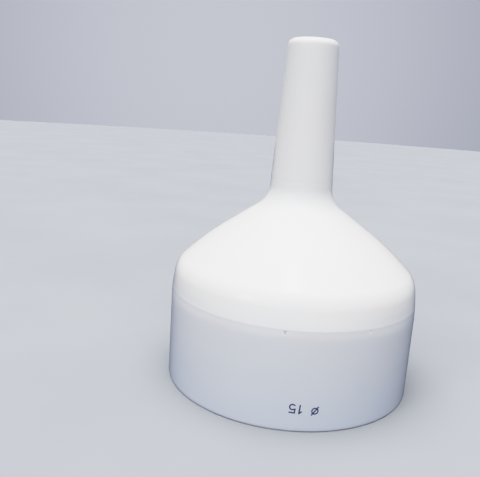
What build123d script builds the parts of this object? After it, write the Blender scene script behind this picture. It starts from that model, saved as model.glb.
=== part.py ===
from build123d import *
import os
from math import atan2, degrees, hypot, radians, tan

# A 150 mm Buchner funnel in glazed laboratory porcelain, standing on its mouth with the stem up.
# Millimetres. The origin is the centre of the mouth's foot plane, +Z runs up the axis to the stem's
# tip, and the size mark on the bowl faces -Y.
#
# The ware is built up from separately formed clay pieces that are stuck together ("luted") with
# slip and fired as one: a bowl wall, a perforated filter plate, a drain cone and a stem tube. Each
# joint has its own ring of slip, so every piece here is a solid of its own and they meet face to
# face.

# ---- driving dimensions ------------------------------------------------------------------------
PAPER_D = 150.0  # filter paper, and so the plate: the funnel's nominal size
BOWL_OD = 160.0
HEIGHT = 218.3
BOWL_DEPTH = 53.0  # mouth to filter face
PLATE_THICKNESS = 6.0
SLIP = 0.4  # thickness of the slip in a joint
PLATE_EDGE_GAP = 0.5  # slip between the plate's edge and the bowl wall

CONE_WALL = 5.0
LEAN_Z = 59.7  # where the outside stops being upright and starts to lean in
SHOULDER_R = 77.75  # where that lean would meet the cone
SHOULDER_Z = 75.0
SWELL_R = 60.6  # where the cone's lower and upper slopes would cross
SWELL_Z = 91.6
NECK_R = 20.35  # where the cone's and the stem's outer lines would cross
NECK_Z = 119.5
TIP_R = 15.6
TIP_BORE_R = 10.5
NECK_BORE_R = 15.2

LEAN_FILLET = 8.0
SHOULDER_FILLET = 17.0
SWELL_FILLET = 200.0
NECK_FILLET = 17.0
NECK_BORE_FILLET = 20.0
RIM_OUTER_FILLET = 1.2
RIM_INNER_FILLET = 1.0
TIP_OUTER_FILLET = 4.3
TIP_INNER_FILLET = 0.5

LEDGE_R = 71.0  # the seat in the cone that carries the plate against the vacuum
LEDGE_LIP = 4.0  # its straight lip
LEDGE_DEPTH = 11.0  # where it has run out into the cone's wall
TONGUE_WIDTH = 2.0
TONGUE_HEIGHT = 3.0
SPIGOT_R = 17.2
SPIGOT_LENGTH = 10.0
STEM_SEAM_Z = 133.0

HOLE_D = 2.8
HOLE_RINGS = 8
HOLE_PITCH = 8.2  # between rings
HOLES_PER_RING = 6  # more in each ring than in the last

MARK_HEIGHT = 5.7
MARK_STROKE = 0.75
MARK_Z = 13.8  # middle of the mark
MARK_TILT = 5.0  # degrees, as put on by hand
MARK_PROUD = 0.1
SLASH_LEAN = 32.0  # degrees, of the stroke through the diameter sign
SIGN_X = -6.4  # the middles of the sign and of the figures 1 and 5
ONE_X = 2.3
FIVE_X = 6.4

# ---- derived dimensions ------------------------------------------------------------------------
BOWL_R = BOWL_OD / 2
PLATE_R = PAPER_D / 2
BOWL_BORE_R = PLATE_R + PLATE_EDGE_GAP
SEAM_Z = BOWL_DEPTH + PLATE_THICKNESS  # the plate's back, the ledge and the bowl's outer seam
CONE_BORE_R = BOWL_R - CONE_WALL
CONE_LINE = [
    (BOWL_R, 0),
    (BOWL_R, LEAN_Z),
    (SHOULDER_R, SHOULDER_Z),
    (SWELL_R, SWELL_Z),
    (NECK_R, NECK_Z),
]


def inset(line, depth):
    """The straight runs of a rising line, each moved inwards by depth, as (r, z, dr, dz)."""
    runs = []
    for (r0, z0), (r1, z1) in zip(line, line[1:]):
        length = hypot(r1 - r0, z1 - z0)
        dr, dz = (r1 - r0) / length, (z1 - z0) / length
        runs.append((r0 - depth * dz, z0 + depth * dr, dr, dz))
    return runs


def crossing(first, second):
    """The point (r, z) where two runs cross."""
    r0, z0, dr0, dz0 = first
    r1, z1, dr1, dz1 = second
    along = ((r1 - r0) * dz1 - (z1 - z0) * dr1) / (dr0 * dz1 - dz0 * dr1)
    return r0 + along * dr0, z0 + along * dz0


def chamber_line():
    """The corners of the drain chamber's wall, one cone wall inside the outside, seam to tip."""
    runs = inset(CONE_LINE, CONE_WALL)
    corners = [crossing(a, b) for a, b in zip(runs, runs[1:])]
    neck = crossing(runs[-1], (NECK_BORE_R, 0, 0, 1))
    return [(CONE_BORE_R, SEAM_Z)] + corners + [neck, (TIP_BORE_R, HEIGHT)]


# ---- sections, in the XZ plane: X is the radius ------------------------------------------------
def outline(points, radii):
    """A closed section through points, each corner rounded by its radius."""
    return Plane.XZ * make_face(FilletPolyline(*points, radius=radii, close=True))


def box_section(r0, r1, z0, z1):
    """A rectangular section from radius r0 to r1 and height z0 to z1."""
    return outline([(r0, z0), (r1, z0), (r1, z1), (r0, z1)], [0, 0, 0, 0])


def ware_section():
    """The whole wall of the funnel, rim to tip, before it is parted into pieces."""
    outer = outline(
        [(0, 0)] + CONE_LINE + [(TIP_R, HEIGHT), (0, HEIGHT)],
        [
            0,
            RIM_OUTER_FILLET,
            LEAN_FILLET,
            SHOULDER_FILLET,
            SWELL_FILLET,
            NECK_FILLET,
            TIP_OUTER_FILLET,
            0,
        ],
    )
    bowl = box_section(0, BOWL_BORE_R, 0, SEAM_Z)
    chamber = outline(
        [(0, SEAM_Z)] + chamber_line() + [(0, HEIGHT)],
        [
            0,
            0,
            0,
            SHOULDER_FILLET - CONE_WALL,
            SWELL_FILLET - CONE_WALL,
            NECK_BORE_FILLET,
            0,
            0,
        ],
    )
    ledge = outline(
        [
            (LEDGE_R, SEAM_Z),
            (BOWL_R - CONE_WALL / 2, SEAM_Z),
            (BOWL_R - CONE_WALL / 2, SEAM_Z + LEDGE_DEPTH),
            (LEDGE_R + CONE_WALL / 2, SEAM_Z + LEDGE_DEPTH),
            (LEDGE_R, SEAM_Z + LEDGE_LIP),
        ],
        [0, 0, 0, 0, 0],
    )
    section = outer - bowl - chamber + ledge
    section = rounded(section, BOWL_BORE_R, 0, RIM_INNER_FILLET)
    return rounded(section, TIP_BORE_R, HEIGHT, TIP_INNER_FILLET)


def rounded(section, r, z, radius):
    """The section with its corner nearest to (r, z) rounded."""
    corner = section.vertices().sort_by_distance(Vector(r, 0, z))[0]
    return fillet(corner, radius)


def bowl_zone():
    """What belongs to the bowl wall: up to the outer seam, with a tongue at its inner edge."""
    body = box_section(BOWL_BORE_R, BOWL_R, 0, SEAM_Z - SLIP)
    tongue = box_section(
        BOWL_BORE_R, BOWL_BORE_R + TONGUE_WIDTH, 0, SEAM_Z - SLIP + TONGUE_HEIGHT
    )
    return body + tongue


def groove_zone():
    """The groove in the cone's skirt: the tongue with a thickness of slip all round."""
    return box_section(
        BOWL_BORE_R - SLIP, BOWL_BORE_R + TONGUE_WIDTH + SLIP, SEAM_Z - SLIP, SEAM_Z + TONGUE_HEIGHT
    )


def cone_zone():
    """What belongs to the drain cone: ledge, skirt, cone and the socket that takes the stem."""
    socket_r = SPIGOT_R + SLIP
    body = box_section(0, BOWL_R, SEAM_Z, STEM_SEAM_Z)
    socket = box_section(0, socket_r, STEM_SEAM_Z - SPIGOT_LENGTH - SLIP, STEM_SEAM_Z)
    return body - groove_zone() - socket


def stem_zone():
    """What belongs to the stem tube: the tube above its seam, and the spigot below."""
    tube = box_section(0, NECK_R, STEM_SEAM_Z + SLIP, HEIGHT)
    spigot = box_section(0, SPIGOT_R, STEM_SEAM_Z - SPIGOT_LENGTH, HEIGHT)
    return tube + spigot


# ---- pieces ------------------------------------------------------------------------------------
def turned(section):
    """The solid that a section sweeps in a full turn about the axis."""
    return revolve(section, Axis.Z, 360)


def filter_plate():
    """The flat disc that carries the paper, pierced in concentric rings about one middle hole."""
    plate = Pos(0, 0, BOWL_DEPTH) * Cylinder(
        PLATE_R, PLATE_THICKNESS, align=(Align.CENTER, Align.CENTER, Align.MIN)
    )
    drill = Cylinder(HOLE_D / 2, 3 * PLATE_THICKNESS)
    holes = [Pos(0, 0, BOWL_DEPTH) * drill]
    for ring in range(1, HOLE_RINGS + 1):
        count = HOLES_PER_RING * ring
        places = PolarLocations(HOLE_PITCH * ring, count, start_angle=180 / count)
        holes += [Pos(0, 0, BOWL_DEPTH) * place * drill for place in places]
    return plate - holes


def bar(x0, y0, x1, y1):
    """A straight stroke between two points, with square ends."""
    slant = degrees(atan2(y1 - y0, x1 - x0))
    middle = Pos((x0 + x1) / 2, (y0 + y1) / 2) * Rot(0, 0, slant)
    return middle * Rectangle(hypot(x1 - x0, y1 - y0) + MARK_STROKE, MARK_STROKE)


def hoop(x, y, r):
    """A round stroke whose outside radius is r."""
    return Pos(x, y) * (Circle(r) - Circle(r - MARK_STROKE))


def diameter_sign(x):
    """A ring with a slash through it."""
    middle = MARK_HEIGHT / 2
    rise = middle - MARK_STROKE / 2
    run = rise * tan(radians(SLASH_LEAN))
    ring = hoop(x, middle, middle - MARK_STROKE)
    return ring + bar(x - run, middle - rise, x + run, middle + rise)


def figure_one(x):
    """A plain 1: an upright with a short flag."""
    top = MARK_HEIGHT - MARK_STROKE / 2
    flag = MARK_HEIGHT / 5
    return bar(x, MARK_STROKE / 2, x, top) + bar(x, top, x - flag, top - flag)


def figure_five(x):
    """A plain 5: a top bar, a short upright and an open bowl."""
    bowl_r = MARK_HEIGHT * 0.34
    inset = MARK_STROKE / 2
    left = x - bowl_r * 0.8
    opening = Pos(x - bowl_r, bowl_r) * Rectangle(bowl_r * 1.2, bowl_r * 0.9)
    bowl = hoop(x, bowl_r, bowl_r) - opening
    upright = bar(left, bowl_r * 1.55, left, MARK_HEIGHT - inset)
    return bowl + upright + bar(left, MARK_HEIGHT - inset, x + bowl_r * 0.7, MARK_HEIGHT - inset)


def size_mark():
    """The fired-on size mark, a diameter sign and the size in centimetres.

    It reads upright when the stem points down, so here it stands on its head.
    """
    glyphs = diameter_sign(SIGN_X) + figure_one(ONE_X) + figure_five(FIVE_X)
    flat = Rot(0, 0, 180 - MARK_TILT) * Pos(0, -MARK_HEIGHT / 2) * glyphs
    facing = Plane(origin=(0, -BOWL_R - 1, MARK_Z), x_dir=(1, 0, 0), z_dir=(0, -1, 0))
    cutter = extrude(facing * flat, -10)
    skin = Pos(0, 0, MARK_Z) * (
        Cylinder(BOWL_R + MARK_PROUD, 3 * MARK_HEIGHT) - Cylinder(BOWL_R, 3 * MARK_HEIGHT)
    )
    return skin & cutter


def pieces():
    """Every piece by its node name."""
    ware = ware_section()
    bowl, cone, stem = bowl_zone(), cone_zone(), stem_zone()
    below = box_section(0, BOWL_R, 0, SEAM_Z + TONGUE_HEIGHT)
    above = box_section(0, BOWL_R, STEM_SEAM_Z - 2 * SPIGOT_LENGTH, HEIGHT)
    joint = ware - bowl - cone - stem
    return {
        "bowl_wall": turned(ware & bowl),
        "filter_plate": filter_plate(),
        "drain_cone": turned(ware & cone),
        "stem_tube": turned(ware & stem),
        "plate_slip_ring": turned(box_section(PLATE_R, BOWL_BORE_R, BOWL_DEPTH, SEAM_Z)),
        "bowl_slip_ring": turned(joint & below),
        "stem_slip_ring": turned(joint & above),
        "size_mark": size_mark(),
    }


os.makedirs("parts", exist_ok=True)
for name, solid in pieces().items():
    export_step(solid, f"parts/{name}.step")
    print(name, "solids", len(solid.solids()), "volume_cm3", round(solid.volume / 1000, 2))
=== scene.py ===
from math import atan2, ceil, cos, degrees, exp, hypot, pi, radians, sin, tan

import bpy
from mathutils import Matrix, Vector
from mathutils.geometry import delaunay_2d_cdt


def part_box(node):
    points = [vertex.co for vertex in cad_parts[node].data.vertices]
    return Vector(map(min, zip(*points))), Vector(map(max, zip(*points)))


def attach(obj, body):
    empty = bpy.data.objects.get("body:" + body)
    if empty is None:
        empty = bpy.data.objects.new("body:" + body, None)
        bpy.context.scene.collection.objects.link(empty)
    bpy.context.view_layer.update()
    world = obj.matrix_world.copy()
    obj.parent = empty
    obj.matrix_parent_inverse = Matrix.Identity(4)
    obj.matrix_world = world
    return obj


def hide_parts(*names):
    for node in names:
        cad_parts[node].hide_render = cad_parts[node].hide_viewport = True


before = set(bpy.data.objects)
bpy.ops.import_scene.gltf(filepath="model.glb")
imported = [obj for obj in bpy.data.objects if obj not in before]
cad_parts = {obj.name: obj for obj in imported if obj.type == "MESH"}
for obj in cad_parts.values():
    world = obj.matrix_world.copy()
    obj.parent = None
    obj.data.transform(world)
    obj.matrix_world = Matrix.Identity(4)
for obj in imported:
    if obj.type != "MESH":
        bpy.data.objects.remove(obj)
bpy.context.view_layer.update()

# A glazed porcelain Buchner funnel, standing on its mouth with the stem up. Metres.
# Each piece of the ware is turned again here from the frame's own sizes, finely enough for a glaze
# to look like one, with the slight unevenness of pieces that are luted together by hand.

MM = 0.001
BODY = "root"

# ---- sizes that the frame gives ----------------------------------------------------------------


def reach(node):
    """The least and the greatest distance of a CAD node's surface from the axis."""
    spans = [hypot(v.co.x, v.co.y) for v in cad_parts[node].data.vertices]
    return min(spans), max(spans)


BORE_R, BOWL_R = reach("bowl_wall")
PLATE_R = reach("filter_plate")[1]
TIP_BORE_R = reach("stem_tube")[0]
FOOT_Z, TONGUE_TOP = (corner.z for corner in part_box("bowl_wall"))
FILTER_FACE, SEAM_Z = (corner.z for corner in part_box("filter_plate"))
LAP_Z, GROOVE_TOP = (corner.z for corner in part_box("bowl_slip_ring"))
STEM_LAP_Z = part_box("drain_cone")[1].z
SPIGOT_Z, TIP_Z = (corner.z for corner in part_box("stem_tube"))
SOCKET_Z, STEM_SEAM_Z = (corner.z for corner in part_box("stem_slip_ring"))
SLIP = SEAM_Z - LAP_Z

# ---- sizes of the ware's lines, as designed -----------------------------------------------------
CONE_WALL = 5.0 * MM
# Corners of the outside, as (r, z), from the one where the bowl starts to lean in up to the neck.
LEAN = (BOWL_R, 59.7 * MM)
SHOULDER = (77.75 * MM, 75.0 * MM)
SWELL = (60.6 * MM, 91.6 * MM)
NECK = (20.35 * MM, 119.5 * MM)
NECK_BORE_R = 15.2 * MM
TIP_R = 15.6 * MM
LEAN_ROUND = 8.0 * MM
SHOULDER_ROUND = 17.0 * MM
SWELL_ROUND = 200.0 * MM
NECK_ROUND = 17.0 * MM
NECK_BORE_ROUND = 20.0 * MM
TIP_ROUND = 4.3 * MM
TIP_BORE_ROUND = 0.5 * MM
RIM_ROUND = 1.2 * MM
RIM_BORE_ROUND = 1.0 * MM
LEDGE_R = 71.0 * MM
LEDGE_LIP = 4.0 * MM
LEDGE_DEPTH = 11.0 * MM
TONGUE_WIDTH = 2.0 * MM
SPIGOT_R = 17.2 * MM
BEAD_ROUND = 1.5 * MM
TIP_FLAT_R = TIP_BORE_R + 1.5 * TIP_BORE_ROUND
HOLE_R = 1.4 * MM
HOLE_ROUND = 0.5 * MM
HOLE_COLLAR = 0.15 * MM  # flat ring round each mouth
HOLE_PITCH = 8.2 * MM
HOLE_RINGS = 8
HOLES_PER_RING = 6

# ---- fineness of the meshes ----------------------------------------------------------------------
COARSE_STEP = 1.6 * MM
FINE_STEP = 0.35 * MM
ARC_STEP = 0.9 * MM
LEAST_ARC_STEPS = 5
BEAD_STEPS = 8
MOUTH_STEPS = 5
TURN_STEP = 1.25  # degrees
FINE_TURN = 0.2
HOLE_SIDES = 20
SEAM_BAND = 4.0 * MM  # as far as this above and below the seam the outside is fine
SKIN = 0.5 * MM  # as far as this in from the bowl's outside counts as outside
SAME_POINT = 0.01 * MM
SHARP_ANGLE = 38  # degrees
PIERCING_TOLERANCE = 1e-7

# ---- marks of the hand ---------------------------------------------------------------------------
# Firing pulls the bowl and the stem slightly oval. The seam's finish is worn in unevenly, in waves
# of (size, how many go round, phase), and the fine line of the seam itself varies with it.
WARP = 0.10 * MM
STEM_WARP = 0.06 * MM
FINISH_WAVES = ((0.13, 3, 1.9), (0.09, 7, 0.4), (0.05, 12, 2.2))
FINISH_WAVE = 0.8 * MM
FINISH_DEPTH = 0.22 * MM
FINISH_RISE = 1.0 * MM
FINISH_SPREAD = 4.2 * MM
LINE_DEPTH = 0.012 * MM
LINE_SPREAD = 0.55 * MM

# The shoulder has slumped at the front.
SLUMP_DEPTH = 2.0 * MM
SLUMP_Z = (54 * MM, 75 * MM, 105 * MM)  # where the slump starts, is deepest and has gone
SLUMP_AZIMUTH = -0.15  # radians from the front
SLUMP_NARROWNESS = 1.5

# The size mark stands this far out of the glaze and in it, and MARK_MIDDLE parts its two faces.
MARK_PROUD = 0.05 * MM
MARK_SUNK = 0.03 * MM
MARK_MIDDLE = 0.05 * MM

# Pits in the glaze along the seam: (azimuth from the front in degrees, height, half width, half
# height, depth). The ends of a pit droop, and the glaze stands in a lip under it. The lip's numbers
# are in the pit's half widths and half heights, and its height is a share of the pit's depth.
PITS = (
    (-10.0, SEAM_Z - 0.9 * MM, 1.3 * MM, 0.5 * MM, 0.65 * MM),
    (25.9, SEAM_Z - 0.5 * MM, 0.6 * MM, 0.4 * MM, 0.2 * MM),
)
PIT_DROOP = 0.25
PIT_REACH = (4, 12)  # past this many half widths or half heights a pit is nothing
LIP_DROP = 2.4
LIP_SIZE = (1.2, 1.1)
LIP_HEIGHT = 0.3
FINE_REACH = 2.2  # the turns are fine for this many half widths to each side of a pit
PITTED_DEPTH = 2 * MM  # how far in from the outside a pit may act,
PITTED_BAND = (4 * MM, 5 * MM)  # and how far below and above the seam


def eased(x):
    """From 0 to 1 as x goes from 0 to 1, with no kink at either end."""
    x = max(0, min(1, x))
    return x * x * (3 - 2 * x)


def hump(distance, spread):
    """1 at no distance, and fading out to both sides."""
    return exp(-((distance / spread) ** 2))


def slump(azimuth, z):
    """How far the shoulder has sunk in."""
    rise = eased((z - SLUMP_Z[0]) / (SLUMP_Z[1] - SLUMP_Z[0]))
    fall = eased((z - SLUMP_Z[1]) / (SLUMP_Z[2] - SLUMP_Z[1]))
    return SLUMP_DEPTH * max(0, cos(azimuth - SLUMP_AZIMUTH)) ** SLUMP_NARROWNESS * (rise - fall)


def unevenness(azimuth, z):
    """How far the ware stands off a true turned shape."""
    warp = WARP * cos(2 * azimuth + 0.7) * max(0, 1 - z / SHOULDER[1])
    stem_warp = STEM_WARP * cos(2 * azimuth + 2.1) * min(1, max(0, z / NECK[1] - 1) * 4)
    wave = sum(size * sin(count * azimuth + phase) for size, count, phase in FINISH_WAVES)
    finish = (FINISH_WAVE * wave - FINISH_DEPTH) * hump(z - SEAM_Z - FINISH_RISE, FINISH_SPREAD)
    line = LINE_DEPTH * hump(z - SEAM_Z, LINE_SPREAD) * (1 + 0.5 * sin(5 * azimuth + 1.1))
    return warp + stem_warp + finish - line - slump(azimuth, z)


def pitting(azimuth, z):
    """How deep the pits sink into the outside, with the raised lip under each."""
    depth = 0
    for pit_azimuth, pit_z, half_width, half_height, pit_depth in PITS:
        turn = (azimuth - radians(pit_azimuth) + pi) % (2 * pi) - pi
        across = turn * BOWL_R / half_width
        up = (z - pit_z) / half_height
        drooped = up + PIT_DROOP * across ** 2
        lip = (up + LIP_DROP) / LIP_SIZE[1]
        if abs(across) < PIT_REACH[0] and abs(drooped) < PIT_REACH[1]:
            depth += pit_depth * exp(-(across ** 4) - drooped ** 2)
            depth -= LIP_HEIGHT * pit_depth * exp(-(across / LIP_SIZE[0]) ** 2 - lip ** 2)
    return depth


def azimuths():
    """Angles round the axis from the front, closer together across the pits."""
    fine = []
    for pit_azimuth, _, half_width, _, _ in PITS:
        span = ceil(degrees(FINE_REACH * half_width / BOWL_R) / FINE_TURN)
        fine += [pit_azimuth + k * FINE_TURN for k in range(-span, span + 1)]
    coarse = [k * TURN_STEP - 180 for k in range(round(360 / TURN_STEP))]
    clear = [a for a in coarse if all(abs(a - f) > FINE_TURN * 1.5 for f in fine)]
    return [radians(a) for a in sorted(clear + fine)]


AZIMUTHS = azimuths()


# ---- sections: points (r, z) ---------------------------------------------------------------------
def spacing(point):
    """How far apart points may be here: close together on the outside near the seam."""
    near_seam = abs(point.y - SEAM_Z) < SEAM_BAND and point.x > BOWL_R - SKIN
    return FINE_STEP if near_seam else COARSE_STEP


def corner_arc(before, here, after, radius):
    """The points of the arc that rounds the corner at here."""
    back = (before - here).normalized()
    on = (after - here).normalized()
    half = back.angle(on) / 2
    centre = here + (back + on).normalized() * radius / sin(half)
    start = here + back * radius / tan(half) - centre
    turn = (pi - 2 * half) * (1 if back.cross(on) < 0 else -1)
    count = max(LEAST_ARC_STEPS, ceil(abs(turn) * radius / ARC_STEP))
    return [centre + Matrix.Rotation(turn * k / count, 2) @ start for k in range(count + 1)]


def filled(points):
    """The same line with points added on runs that are longer than the spacing there."""
    line = [points[0]]
    for end in points[1:]:
        start = line[-1]
        count = ceil((end - start).length / spacing((start + end) / 2))
        line += [start.lerp(end, k / count) for k in range(1, count + 1)] if count else []
    return line


def rounded_line(corners):
    """An open line through (r, z, radius) corners, each inner one rounded by its radius."""
    spots = [Vector(corner[:2]) for corner in corners]
    points = [spots[0]]
    for i in range(1, len(spots) - 1):
        points += corner_arc(*spots[i - 1:i + 2], corners[i][2])
    return filled(points + [spots[-1]])


def at_height(line, z):
    """The point where a line of rising or falling z crosses the height z."""
    for start, end in zip(line, line[1:]):
        if min(start.y, end.y) <= z <= max(start.y, end.y) and start.y != end.y:
            return start.lerp(end, (z - start.y) / (end.y - start.y))
    raise ValueError(f"the line doesn't reach {z}")


def between(line, low, high):
    """The stretch of a line of rising or falling z from height low to height high."""
    inner = [p for p in line if low < p.y < high]
    ends = [at_height(line, low), at_height(line, high)]
    if line[0].y > line[-1].y:
        ends.reverse()
    return [ends[0]] + inner + [ends[1]]


def straight(*points):
    """A line of straight runs through (r, z) points."""
    return filled([Vector(p) for p in points])


def joined(*lines):
    """One closed loop from lines laid end to end, without doubled points."""
    loop = []
    for point in (p for line in lines for p in line):
        if not loop or (point - loop[-1]).length > SAME_POINT:
            loop.append(point)
    if (loop[0] - loop[-1]).length <= SAME_POINT:
        loop.pop()
    return loop


def inset(line, depth):
    """The straight runs of a rising line, each moved inwards by depth, as (point, direction)."""
    runs = []
    for start, end in zip(line, line[1:]):
        along = (Vector(end) - Vector(start)).normalized()
        runs.append((Vector(start) + Vector((-along.y, along.x)) * depth, along))
    return runs


def crossing(first, second):
    """Where two runs cross."""
    start, along = first
    other, across = second
    return start + along * (other - start).cross(across) / along.cross(across)


INNER_RUNS = inset([(BOWL_R, FOOT_Z), LEAN, SHOULDER, SWELL, NECK], CONE_WALL)
_, INNER_SHOULDER, INNER_SWELL = (crossing(a, b) for a, b in zip(INNER_RUNS, INNER_RUNS[1:]))
INNER_NECK = crossing(INNER_RUNS[-1], (Vector((NECK_BORE_R, 0)), Vector((0, 1))))

OUTSIDE = rounded_line([
    (BOWL_R, SEAM_Z - SLIP, 0), (*LEAN, LEAN_ROUND), (*SHOULDER, SHOULDER_ROUND), (*SWELL, SWELL_ROUND),
    (*NECK, NECK_ROUND), (TIP_R, TIP_Z, TIP_ROUND), (TIP_FLAT_R, TIP_Z, 0),
])
BORE = rounded_line([
    (TIP_FLAT_R, TIP_Z, 0), (TIP_BORE_R, TIP_Z, TIP_BORE_ROUND), (*INNER_NECK, NECK_BORE_ROUND),
    (*INNER_SWELL, SWELL_ROUND - CONE_WALL), (*INNER_SHOULDER, SHOULDER_ROUND - CONE_WALL),
    (BOWL_R - CONE_WALL, SEAM_Z, 0),
])


def bowl_section():
    """The bowl wall, with its foot rounded and its tongue up in the cone's groove."""
    middle = (BORE_R + BOWL_R) / 2
    outer = rounded_line([(middle, FOOT_Z, 0), (BOWL_R, FOOT_Z, RIM_ROUND), (BOWL_R, LAP_Z, 0)])
    tongue_r = BORE_R + TONGUE_WIDTH
    tongue = straight((BOWL_R, LAP_Z), (tongue_r, LAP_Z), (tongue_r, TONGUE_TOP), (BORE_R, TONGUE_TOP))
    inner = rounded_line([(BORE_R, TONGUE_TOP, 0), (BORE_R, FOOT_Z, RIM_BORE_ROUND), (middle, FOOT_Z, 0)])
    return joined(outer, tongue, inner)


def cone_section():
    """The cone from the seam to the neck, with the ledge for the plate and the stem's socket."""
    outer = between(OUTSIDE, SEAM_Z, STEM_LAP_Z)
    socket_r = SPIGOT_R + SLIP
    socket = straight(outer[-1], (socket_r, STEM_LAP_Z), (socket_r, SOCKET_Z), at_height(BORE, SOCKET_Z))
    ledge_top = SEAM_Z + LEDGE_DEPTH
    inner = between(BORE, ledge_top, SOCKET_Z)
    ledge = straight(inner[-1], (LEDGE_R, SEAM_Z + LEDGE_LIP), (LEDGE_R, SEAM_Z))
    groove_in = BORE_R - SLIP
    groove_out = BORE_R + TONGUE_WIDTH + SLIP
    groove = straight(
        (LEDGE_R, SEAM_Z), (groove_in, SEAM_Z), (groove_in, GROOVE_TOP),
        (groove_out, GROOVE_TOP), (groove_out, SEAM_Z), (BOWL_R, SEAM_Z),
    )
    return joined(outer, socket, inner, ledge, groove)


def stem_section():
    """The stem from its seam to the rounded tip, with the spigot inside the neck."""
    outer = between(OUTSIDE, STEM_SEAM_Z, TIP_Z)
    inner = between(BORE, SPIGOT_Z, TIP_Z)
    tip = straight(outer[-1], inner[0])
    spigot = straight(inner[-1], (SPIGOT_R, SPIGOT_Z), (SPIGOT_R, STEM_SEAM_Z), outer[0])
    return joined(outer, tip, inner, spigot)


def bowl_slip_section():
    """The slip in the lap joint, which shows as a fine line round the outside."""
    tongue_r = BORE_R + TONGUE_WIDTH
    return joined(straight(
        (BOWL_R, LAP_Z), (BOWL_R, SEAM_Z), (tongue_r + SLIP, SEAM_Z), (tongue_r + SLIP, GROOVE_TOP),
        (BORE_R - SLIP, GROOVE_TOP), (BORE_R - SLIP, SEAM_Z), (BORE_R, SEAM_Z),
        (BORE_R, TONGUE_TOP), (tongue_r, TONGUE_TOP), (tongue_r, LAP_Z), (BOWL_R, LAP_Z),
    ))


def stem_slip_section():
    """The slip in the stem's joint, between neck and spigot."""
    socket_r = SPIGOT_R + SLIP
    low, high = at_height(OUTSIDE, STEM_LAP_Z), at_height(OUTSIDE, STEM_SEAM_Z)
    return joined(straight(
        low, high, (SPIGOT_R, STEM_SEAM_Z), (SPIGOT_R, SPIGOT_Z), at_height(BORE, SPIGOT_Z),
        at_height(BORE, SOCKET_Z), (socket_r, SOCKET_Z), (socket_r, STEM_LAP_Z), low,
    ))


def bead_section():
    """The slip round the plate's edge, wiped to a hollow bead in the corner."""
    centre = Vector((BORE_R - BEAD_ROUND, FILTER_FACE - BEAD_ROUND))
    angles = [pi / 2 * k / BEAD_STEPS for k in range(BEAD_STEPS + 1)]
    hollow = [centre + Vector((sin(a), cos(a))) * BEAD_ROUND for a in angles]
    rest = straight(hollow[-1], (BORE_R, SEAM_Z), (PLATE_R, SEAM_Z), (PLATE_R, FILTER_FACE), hollow[0])
    return joined(hollow, rest)


# ---- meshes --------------------------------------------------------------------------------------
def ware_point(r, z, azimuth):
    """A point of the uneven ware. The plate stays true, and the slip round it takes up the difference."""
    share = 1 if z > SEAM_Z else min(1, max(0, (r - PLATE_R) / (BORE_R - PLATE_R)))
    real = r + share * unevenness(azimuth, z)
    if r > BOWL_R - PITTED_DEPTH and SEAM_Z - PITTED_BAND[0] < z < SEAM_Z + PITTED_BAND[1]:
        real -= pitting(azimuth, z)
    return real * sin(azimuth), -real * cos(azimuth), z


def new_piece(name, node, material, vertices, faces):
    """A piece of the object, which stands for a CAD node."""
    mesh = bpy.data.meshes.new(name)
    mesh.from_pydata(vertices, [], faces)
    mesh.validate()
    piece = bpy.data.objects.new(name, mesh)
    bpy.context.scene.collection.objects.link(piece)
    mesh.materials.append(material)
    mesh.shade_smooth()
    mesh.set_sharp_from_angle(angle=radians(SHARP_ANGLE))
    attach(piece, BODY)
    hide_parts(node)
    return piece


def band(first, second):
    """The four-sided faces between two closed rows of vertices."""
    return list(zip(first, second, second[1:] + second[:1], first[1:] + first[:1]))


def turned(name, node, material, loop):
    """A ring of ware: a closed section swept round the axis."""
    area = sum(a.cross(b) for a, b in zip(loop, loop[1:] + loop[:1]))
    if area < 0:
        loop = loop[::-1]
    vertices = [ware_point(p.x, p.y, azimuth) for azimuth in AZIMUTHS for p in loop]
    rows = [list(range(i, i + len(loop))) for i in range(0, len(vertices), len(loop))]
    faces = [face for here, there in zip(rows, rows[1:] + rows[:1]) for face in band(here, there)]
    return new_piece(name, node, material, vertices, faces)


def hole_centres():
    """Where the plate is pierced: a middle hole, and rings of 6, 12, 18 and so on round it."""
    centres = [Vector((0, 0))]
    for ring in range(1, HOLE_RINGS + 1):
        count = HOLES_PER_RING * ring
        angles = [pi / count * (1 + 2 * k) for k in range(count)]
        centres += [Vector((cos(a), sin(a))) * HOLE_PITCH * ring for a in angles]
    return centres


def hole_section():
    """(r, z) down one hole from face to face, with both mouths rounded and a flat collar round each."""
    mouth = HOLE_R + HOLE_ROUND
    angles = [pi / 2 * k / MOUTH_STEPS for k in range(MOUTH_STEPS + 1)]
    lower = [(mouth - HOLE_ROUND * sin(a), FILTER_FACE + HOLE_ROUND * (1 - cos(a))) for a in angles]
    upper = [(r, FILTER_FACE + SEAM_Z - z) for r, z in reversed(lower)]
    collar = mouth + HOLE_COLLAR
    return [(collar, FILTER_FACE)] + lower + upper + [(collar, SEAM_Z)]


def closed_ties(first, count):
    """The edges that tie count vertices, numbered from first, into a ring."""
    return [(first + i, first + (i + 1) % count) for i in range(count)]


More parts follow.
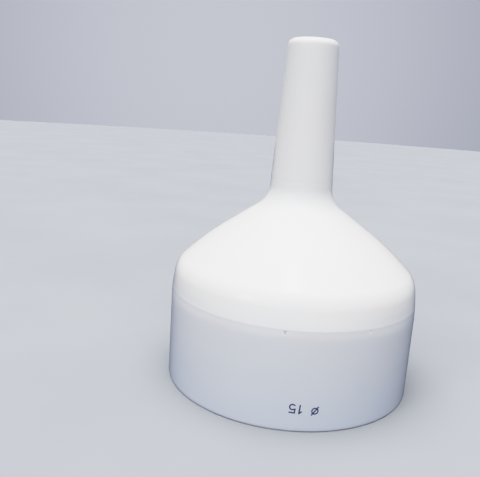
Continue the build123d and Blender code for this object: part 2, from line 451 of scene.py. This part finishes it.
def pierced_plate(name, node, material):
    """The filter plate: two flat faces and an edge, pierced by round-mouthed holes."""
    section = hole_section()
    centres = hole_centres()
    edge = [Vector((PLATE_R * sin(a), -PLATE_R * cos(a))) for a in AZIMUTHS]
    around = [Vector((cos(a), sin(a))) for a in (2 * pi * k / HOLE_SIDES for k in range(HOLE_SIDES))]
    collar = section[0][0]
    rims = [centre + out * collar for centre in centres for out in around]
    flat = edge + rims
    ties = closed_ties(0, len(edge))
    for h in range(len(centres)):
        ties += closed_ties(len(edge) + h * HOLE_SIDES, HOLE_SIDES)
    _, _, cells, origins, _, _ = delaunay_2d_cdt(flat, ties, [], 0, PIERCING_TOLERANCE)
    source = [made[0] for made in origins]
    # Each vertex of a hole's rim has the hole's number, and each of the edge a number of its own,
    # so a cell with one number is the inside of a hole.
    owner = [-1 - i if s < len(edge) else (s - len(edge)) // HOLE_SIDES for i, s in enumerate(source)]
    solid = [cell for cell in cells if len({owner[i] for i in cell}) > 1]

    vertices = [(*flat[s], FILTER_FACE) for s in source] + [(*flat[s], SEAM_Z) for s in source]
    count = len(source)
    place = {s: i for i, s in enumerate(source)}
    faces = [tuple(reversed(cell)) for cell in solid]
    faces += [tuple(i + count for i in cell) for cell in solid]
    for i in range(len(edge)):
        a, b = place[i], place[(i + 1) % len(edge)]
        faces.append((a, b, b + count, a + count))
    for h, centre in enumerate(centres):
        rows = [[place[len(edge) + h * HOLE_SIDES + i] for i in range(HOLE_SIDES)]]
        for r, z in section[1:-1]:
            rows.append(list(range(len(vertices), len(vertices) + HOLE_SIDES)))
            vertices += [(*(centre + out * r), z) for out in around]
        rows.append([i + count for i in rows[0]])
        for low, high in zip(rows, rows[1:]):
            faces += band(low, high)
    return new_piece(name, node, material, vertices, faces)


def fired_mark(name, node, material):
    """The size mark, laid on the uneven wall: a skin that sinks a little into the glaze."""
    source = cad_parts[node].data
    vertices = []
    for v in source.vertices:
        azimuth = atan2(v.co.x, -v.co.y)
        outer = hypot(v.co.x, v.co.y) > BOWL_R + MARK_MIDDLE
        vertices.append(ware_point(BOWL_R + (MARK_PROUD if outer else -MARK_SUNK), v.co.z, azimuth))
    faces = [tuple(p.vertices) for p in source.polygons]
    return new_piece(name, node, material, vertices, faces)


# ---- materials -----------------------------------------------------------------------------------
BODY_WHITE = (0.86, 0.865, 0.86, 1)
COOL_WHITE = (0.82, 0.845, 0.86, 1)
WARM_WHITE = (0.87, 0.86, 0.835, 1)
# Painted shade: a dim blue mixed into the glaze, most at the bowl's foot and less up the wall.
PAINTED_BLUE_SHADE = (0.58, 0.65, 0.77, 1)
BISCUIT = (0.78, 0.76, 0.72, 1)
SPECK = (0.36, 0.31, 0.25, 1)
MARK_BLUES = ((0.018, 0.026, 0.10, 1), (0.05, 0.065, 0.19, 1))
# How far the middle of each pit goes to dark brown.
PIT_DARKENING = 0.75
BARE_FOOT = 0.35 * MM  # the foot is wiped bare up to about this height,
BARE_WOBBLE = 0.25 * MM  # give or take this,
BARE_EDGE = 0.15 * MM  # and the glaze starts within this
THIN_TIP = 3.5 * MM  # the glaze runs thin this far from the stem's tip
THIN_FADE = 2 * MM
POOL_REACH = 9 * MM
# Where blue shade is painted: (low height, high height, share at the low, share at the high).
BOWL_SHADE_RUN = (FOOT_Z, SEAM_Z, 0.75, 0.25)
CONE_SHADE_RUN = (SEAM_Z, SEAM_Z + 9 * MM, 0.25, 0.0)


class Nodes:
    """A short way to lay out the nodes of a material or a world."""

    def __init__(self, owner):
        self.owner = owner
        owner.use_nodes = True
        self.tree = owner.node_tree

    @property
    def shader(self):
        return self.tree.nodes["Principled BSDF"]

    def add(self, kind, inputs=None, **settings):
        """A new node with some inputs fed, by name or number, and some settings made."""
        node = self.tree.nodes.new(kind)
        for key, value in settings.items():
            setattr(node, key, value)
        for key, value in (inputs or {}).items():
            self.feed(node.inputs[key], value)
        return node

    def feed(self, socket, value):
        """Links the socket to a value that is another socket, or sets it to any other value."""
        if isinstance(value, bpy.types.NodeSocket):
            self.tree.links.new(value, socket)
        else:
            socket.default_value = value

    def place(self, scale=(1, 1, 1)):
        """Coordinates on the object in metres, stretched by scale."""
        coordinates = self.add("ShaderNodeTexCoord").outputs["Object"]
        return self.add("ShaderNodeMapping", {"Vector": coordinates, "Scale": scale}).outputs[0]

    def noise(self, scale, detail=2.0, stretch=(1, 1, 1), roughness=0.5):
        inputs = {"Vector": self.place(stretch), "Scale": scale, "Detail": detail, "Roughness": roughness}
        return self.add("ShaderNodeTexNoise", inputs).outputs["Fac"]

    def spread(self, value, low, high, to_low=0.0, to_high=1.0, smooth=True):
        """value, from the range low..high to the range to_low..to_high."""
        kind = "SMOOTHSTEP" if smooth else "LINEAR"
        inputs = {"Value": value, "From Min": low, "From Max": high, "To Min": to_low, "To Max": to_high}
        return self.add("ShaderNodeMapRange", inputs, interpolation_type=kind).outputs["Result"]

    def maths(self, operation, *values):
        return self.add("ShaderNodeMath", dict(enumerate(values)), operation=operation).outputs[0]

    def mix(self, factor, first, second):
        """first where factor is 0, second where it is 1."""
        node = self.add("ShaderNodeMix", data_type="RGBA")
        for key, value in {"Factor": factor, "A": first, "B": second}.items():
            self.feed(next(s for s in node.inputs if s.name == key and s.enabled), value)
        return next(s for s in node.outputs if s.enabled)

    def height(self):
        """Height above the mouth, in metres."""
        return self.add("ShaderNodeSeparateXYZ", {0: self.place()}).outputs["Z"]

    def bump(self, height, distance, strength=1.0, normal=None):
        inputs = {"Height": height, "Distance": distance, "Strength": strength}
        if normal:
            inputs["Normal"] = normal
        return self.add("ShaderNodeBump", inputs).outputs[0]


def specks(nodes, colour):
    """The colour with a few iron specks, each a fraction of a millimetre across."""
    cells = {"Vector": nodes.place(), "Scale": 90.0, "Randomness": 1.0}
    cell = nodes.add("ShaderNodeTexVoronoi", cells)
    dot = nodes.spread(cell.outputs["Distance"], 0.012, 0.03, 1.0, 0.0)
    pick = nodes.add("ShaderNodeSeparateColor", {0: cell.outputs["Color"]}).outputs[0]
    few = nodes.spread(pick, 0.93, 0.95)
    return nodes.mix(nodes.maths("MULTIPLY", dot, nodes.maths("MULTIPLY", few, 0.55)), colour, SPECK)


def darker_pits(nodes, colour):
    """The colour, darker brown in each pit."""
    for pit_azimuth, pit_z, half_width, _, _ in PITS:
        spot = (BOWL_R * sin(radians(pit_azimuth)), -BOWL_R * cos(radians(pit_azimuth)), pit_z)
        ends = {0: nodes.place(), 1: spot}
        away = nodes.add("ShaderNodeVectorMath", ends, operation="DISTANCE").outputs["Value"]
        darker = nodes.spread(away, 0.35 * half_width, half_width, PIT_DARKENING, 0.0)
        colour = nodes.mix(darker, colour, SPECK)
    return colour


def glaze_surface(nodes):
    """The faint turning rings, slow waves and fine peel of a glazed surface."""
    rings = nodes.noise(1.0, 2.0, stretch=(9, 9, 420))
    waves = nodes.noise(45.0, 1.0)
    peel = nodes.noise(620.0, 1.0)
    normal = nodes.bump(rings, 0.05 * MM, 0.35)
    normal = nodes.bump(waves, 0.35 * MM, 0.35, normal)
    return nodes.bump(peel, 0.02 * MM, 0.3, normal)


def glaze(name, bare_below=None, thin_above=None, pooled_at=None, blue_shade_run=None):
    """Clear glaze over white porcelain: glossy and faintly wavy, with blue shade painted on where asked.

    bare_below is the height under which the clay is wiped bare, thin_above the height over which
    the glaze runs thin, pooled_at the height of a hollow that it gathers in, and the last argument
    the run where blue shade is painted on, most at its low end.
    """
    nodes = Nodes(bpy.data.materials.new(name))
    height = nodes.height()
    drift = nodes.spread(nodes.noise(14.0, 3.0), 0.35, 0.65)
    colour = nodes.mix(drift, BODY_WHITE, WARM_WHITE)
    colour = nodes.mix(nodes.spread(nodes.noise(55.0, 4.0), 0.45, 0.75, 0.0, 0.5), colour, COOL_WHITE)
    if pooled_at:
        away = nodes.maths("ABSOLUTE", nodes.maths("SUBTRACT", height, pooled_at))
        colour = nodes.mix(nodes.spread(away, 0.0, POOL_REACH, 0.6, 0.0), colour, COOL_WHITE)
    if thin_above:
        colour = nodes.mix(nodes.spread(height, thin_above, thin_above + THIN_FADE), colour, WARM_WHITE)
    # Painted shade: dim blue mixed in over the run, most at its low end.
    if blue_shade_run:
        colour = nodes.mix(nodes.spread(height, *blue_shade_run, smooth=False), colour, PAINTED_BLUE_SHADE)
    colour = specks(nodes, colour)
    gloss = nodes.spread(nodes.noise(30.0, 5.0, roughness=0.6), 0.3, 0.75, 0.10, 0.17)
    if bare_below:
        noise = nodes.noise(220.0, 3.0)
        wobble = nodes.spread(noise, 0.2, 0.8, -BARE_WOBBLE, BARE_WOBBLE, smooth=False)
        level = nodes.maths("ADD", height, wobble)
        bare = nodes.spread(level, bare_below, bare_below + BARE_EDGE, 1.0, 0.0)
        colour = nodes.mix(bare, colour, BISCUIT)
        gloss = nodes.maths("ADD", gloss, nodes.maths("MULTIPLY", bare, 0.5))
    colour = darker_pits(nodes, colour)
    shader = nodes.shader
    nodes.feed(shader.inputs["Base Color"], colour)
    nodes.feed(shader.inputs["Roughness"], gloss)
    nodes.feed(shader.inputs["Normal"], glaze_surface(nodes))
    shader.inputs["IOR"].default_value = 1.5
    shader.inputs["Subsurface Weight"].default_value = 0.12
    shader.inputs["Subsurface Radius"].default_value = (1.0, 0.9, 0.75)
    shader.inputs["Subsurface Scale"].default_value = 2.0 * MM
    return nodes.owner


def mark_colour():
    """Dark blue ceramic colour, printed on a little unevenly and fired in."""
    nodes = Nodes(bpy.data.materials.new("mark_blue"))
    density = nodes.spread(nodes.noise(1500.0, 3.0), 0.35, 0.7)
    nodes.feed(nodes.shader.inputs["Base Color"], nodes.mix(density, *MARK_BLUES))
    nodes.feed(nodes.shader.inputs["Roughness"], nodes.spread(density, 0.0, 1.0, 0.28, 0.42))
    return nodes.owner


def build_funnel():
    """Every piece of the funnel, in the place of its CAD node."""
    bowl = glaze("glaze_bowl", bare_below=BARE_FOOT, blue_shade_run=BOWL_SHADE_RUN)
    cone = glaze("glaze_cone", pooled_at=NECK[1], blue_shade_run=CONE_SHADE_RUN)
    stem = glaze("glaze_stem", thin_above=TIP_Z - THIN_TIP)
    plate = glaze("glaze_plate")
    seam = glaze("glaze_seam", blue_shade_run=BOWL_SHADE_RUN)
    turned("bowl_wall_glazed", "bowl_wall", bowl, bowl_section())
    turned("drain_cone_glazed", "drain_cone", cone, cone_section())
    turned("stem_tube_glazed", "stem_tube", stem, stem_section())
    turned("plate_slip_bead", "plate_slip_ring", seam, bead_section())
    turned("bowl_seam_slip", "bowl_slip_ring", seam, bowl_slip_section())
    turned("stem_seam_slip", "stem_slip_ring", seam, stem_slip_section())
    pierced_plate("filter_plate_glazed", "filter_plate", plate)
    fired_mark("size_mark_fired", "size_mark", mark_colour())


# ---- studio --------------------------------------------------------------------------------------
FLOOR_R = 4.0
DARK_SHEET_GAP = 0.3 * MM
SHEET_SIDES = 96
FLOOR_TONES = ((0.50, 0.53, 0.58, 1), (0.53, 0.56, 0.61, 1))
# Tones of the sheet of painted shade over the floor.
PAINTED_SHADE_TONES = ((0.026, 0.036, 0.066, 1), (0.032, 0.044, 0.075, 1))
# Lobes of light: (azimuth from the front, elevation, tightness, colour). The tighter a lobe, the
# narrower it is, and one with no tightness is even light from all round.
LIGHT = (
    (0, 90, 0.0, (0.15, 0.16, 0.22)),
    (180, 5, 5.0, (0.42, 0.43, 0.46)),
    (-22, 12, 9.0, (0.78, 0.79, 0.81)),
    (20, 12, 9.0, (0.56, 0.57, 0.60)),
    (-45, 36, 9.0, (1.15, 1.14, 1.13)),
    (25, 36, 9.0, (0.80, 0.81, 0.82)),
    (-180, 66, 20.0, (0.9, 0.87, 0.82)),
    (-120, 66, 20.0, (2.2, 2.14, 2.06)),
    (-60, 66, 20.0, (2.1, 2.05, 2.0)),
    (0, 66, 20.0, (1.9, 1.87, 1.83)),
    (60, 66, 20.0, (1.0, 0.98, 0.95)),
    (120, 66, 20.0, (0.6, 0.58, 0.56)),
    (0, 90, 45.0, (1.6, 1.56, 1.5)),
    (0, 90, 9.0, (3.7, 3.6, 3.48)),
    (-52, 26, 160.0, (6.0, 6.0, 5.9)),
    (-8, 74, 220.0, (11.0, 10.9, 10.5)),
)
KNEE = 0.45  # the light at which the camera's response leaves the straight line
WHITE = 0.915  # the most it records
BRIGHTEST = 4.0  # the light at the end of the response curve, which passes through these:
RESPONSE_LIGHTS = (0.2, 0.4, 0.5, 0.6, 0.7, 0.85, 1.0, 1.2, 1.5, 1.9, 2.5, 3.2)
CAMERA_AZIMUTH = -8.8  # degrees round from the size mark's side
CAMERA_DISTANCE = 375.4 * MM  # from the axis
CAMERA_HEIGHT = 173.4 * MM
CAMERA_HEADING = -3.13  # degrees anticlockwise from +Y, seen from above
CAMERA_DIP = 12.48  # degrees below level
CAMERA_ROLL = 3.82  # degrees
CAMERA_LENS = 43.53  # millimetres, as is the next
SENSOR_WIDTH = 36
NEAREST_SEEN = 10 * MM


def make_camera():
    """A close camera, held by hand level with the stem, looking down and tipped to one side."""
    data = bpy.data.cameras.new("camera")
    data.lens = CAMERA_LENS
    data.sensor_width = SENSOR_WIDTH
    data.clip_start = NEAREST_SEEN
    camera = bpy.data.objects.new("camera", data)
    bpy.context.scene.collection.objects.link(camera)
    azimuth = radians(CAMERA_AZIMUTH)
    camera.location = (CAMERA_DISTANCE * sin(azimuth), -CAMERA_DISTANCE * cos(azimuth), CAMERA_HEIGHT)
    turn = Matrix.Rotation(radians(CAMERA_HEADING), 3, "Z")
    dip = Matrix.Rotation(radians(90 - CAMERA_DIP), 3, "X")
    roll = Matrix.Rotation(radians(CAMERA_ROLL), 3, "Z")
    camera.rotation_euler = (turn @ dip @ roll).to_euler()
    bpy.context.scene.camera = camera


def matte(name, tones, noise_scale, noise_detail, roughness):
    """A matte surface that drifts between two tones and has no shine."""
    nodes = Nodes(bpy.data.materials.new(name))
    drift = nodes.spread(nodes.noise(noise_scale, noise_detail), 0.3, 0.7)
    nodes.feed(nodes.shader.inputs["Base Color"], nodes.mix(drift, *tones))
    nodes.shader.inputs["Roughness"].default_value = roughness
    nodes.shader.inputs["Specular IOR Level"].default_value = 0.0
    return nodes.owner


def floor_material():
    """Pale matte paint with a faint mottle."""
    return matte("floor_pale", FLOOR_TONES, 6.0, 4.0, 0.7)


def painted_shade_material():
    """Dark blue for the sheet of painted shade, which sends little light back."""
    return matte("painted_shade_blue", PAINTED_SHADE_TONES, 300.0, 2.0, 1.0)


def round_sheet(name, r, z, material):
    """A flat round sheet of the stage, facing up."""
    angles = [2 * pi * k / SHEET_SIDES for k in range(SHEET_SIDES)]
    rim = [(r * cos(a), r * sin(a), z) for a in angles]
    mesh = bpy.data.meshes.new(name)
    mesh.from_pydata(rim, [], [tuple(range(SHEET_SIDES))])
    sheet = bpy.data.objects.new(name, mesh)
    bpy.context.scene.collection.objects.link(sheet)
    mesh.materials.append(material)
    return sheet


def make_floor():
    """A wide round floor, and over it a dark sheet that no camera sees.

    The sheet is painted shade: it keeps the floor's light off the bowl and darkens its reflections.
    """
    round_sheet("floor", FLOOR_R, FOOT_Z, floor_material())
    sheet = round_sheet("painted_shade_sheet", FLOOR_R, FOOT_Z + DARK_SHEET_GAP, painted_shade_material())
    sheet.visible_camera = False
    sheet.visible_transmission = False
    sheet.visible_shadow = False


def make_world():
    """The light: a sum of lobes, each fading out round its own direction."""
    world = bpy.data.worlds.new("studio")
    bpy.context.scene.world = world
    nodes = Nodes(world)
    view = nodes.add("ShaderNodeTexCoord").outputs["Generated"]
    total = (0, 0, 0)
    for azimuth, elevation, tightness, colour in LIGHT:
        a, e = radians(azimuth), radians(elevation)
        aim = (sin(a) * cos(e), -cos(a) * cos(e), sin(e))
        pair = {0: view, 1: aim}
        near = nodes.add("ShaderNodeVectorMath", pair, operation="DOT_PRODUCT").outputs["Value"]
        off_aim = nodes.maths("SUBTRACT", near, 1)
        fade = nodes.maths("EXPONENT", nodes.maths("MULTIPLY", off_aim, tightness))
        lobe = nodes.add("ShaderNodeVectorMath", {0: colour, "Scale": fade}, operation="SCALE").outputs[0]
        total = nodes.add("ShaderNodeVectorMath", {0: total, 1: lobe}, operation="ADD").outputs[0]
    nodes.feed(nodes.tree.nodes["Background"].inputs["Color"], total)


def recorded(light):
    """How much the camera records of some light: all of it up to the knee, then less and less."""
    span = WHITE - KNEE
    return light if light < KNEE else WHITE - span * exp((KNEE - light) / span)


def set_response():
    """Gives the picture the camera's response, so that brightly lit glaze doesn't clip."""
    view = bpy.context.scene.view_settings
    view.view_transform = "Standard"
    view.use_curve_mapping = True
    view.curve_mapping.white_level = (BRIGHTEST, BRIGHTEST, BRIGHTEST)
    curve = view.curve_mapping.curves[3]  # the combined one, after red, green and blue
    for light in RESPONSE_LIGHTS:
        curve.points.new(light / BRIGHTEST, recorded(light))
    curve.points[-1].location = (1, recorded(BRIGHTEST))
    for point in curve.points:
        point.handle_type = "AUTO_CLAMPED"
    view.curve_mapping.update()


def build_studio():
    """The camera, what the funnel stands on, the light and the camera's response."""
    make_camera()
    make_floor()
    make_world()
    set_response()


build_funnel()
build_studio()
